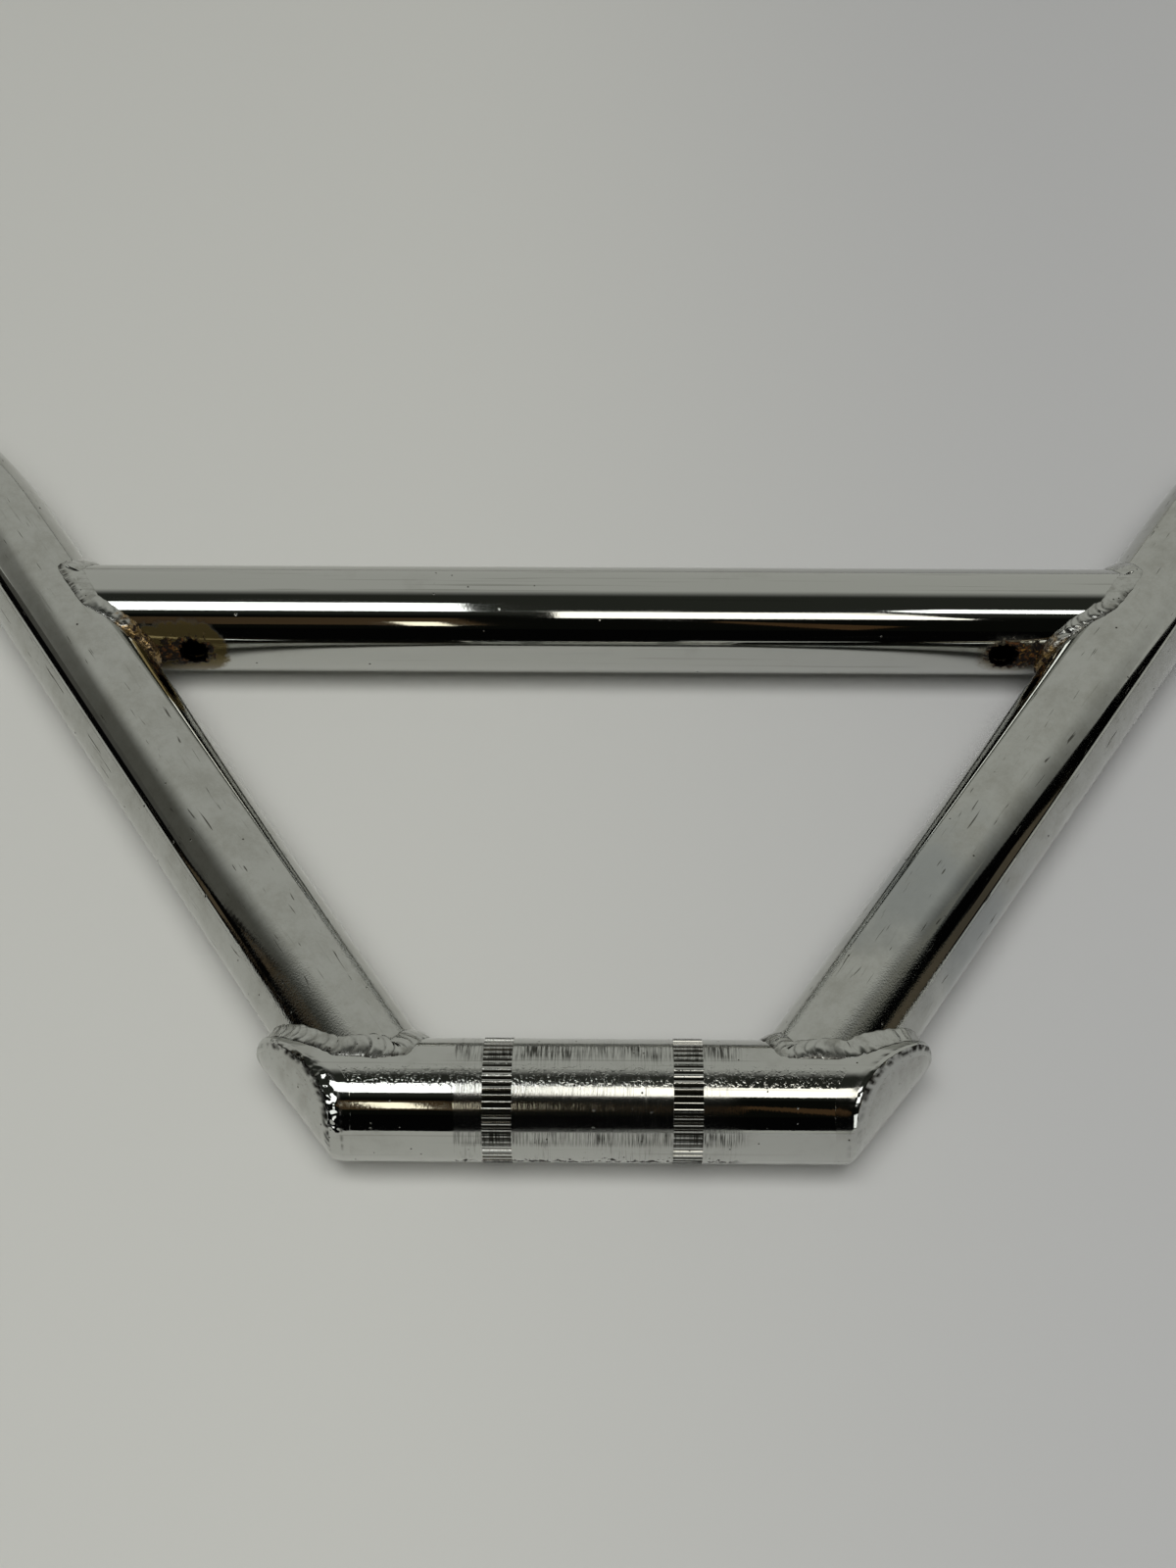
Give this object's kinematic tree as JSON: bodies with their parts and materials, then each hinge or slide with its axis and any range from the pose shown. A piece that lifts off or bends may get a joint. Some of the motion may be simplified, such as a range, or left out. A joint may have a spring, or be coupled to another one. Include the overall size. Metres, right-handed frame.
{
  "type": "bmx handlebar",
  "caption": "Chromed welded handlebar with a knurled clamp tube, bent uprights that end in grips, and a crossbar between them.",
  "frame": {"origin": "centre of the clamp tube, on its axis, where the stem holds the bar", "axes": "+X along the clamp tube, +Y up the bar from the clamp tube to the crossbar and grips, +Z off the surface that the bar lies on, which is the way the grips sweep back"},
  "size_m": [0.7166, 0.2142, 0.0582],
  "materials": {
    "tube_chrome": "worn bright chrome plate on steel tube",
    "plate_chrome": "bright chrome plate, bare",
    "weld_chrome": "chromed weld bead, rusty at the crossbar"
  },
  "bodies": {
    "root": {"clamp_tube": "tube_chrome", "crossbar": "tube_chrome", "left_upright": "tube_chrome", "left_end_plate": "plate_chrome", "left_upright_weld": "weld_chrome", "left_crossbar_weld": "weld_chrome", "left_end_plate_weld": "weld_chrome", "right_upright": "tube_chrome", "right_end_plate": "plate_chrome", "right_upright_weld": "weld_chrome", "right_crossbar_weld": "weld_chrome", "right_end_plate_weld": "weld_chrome"}
  },
  "joints": []
}
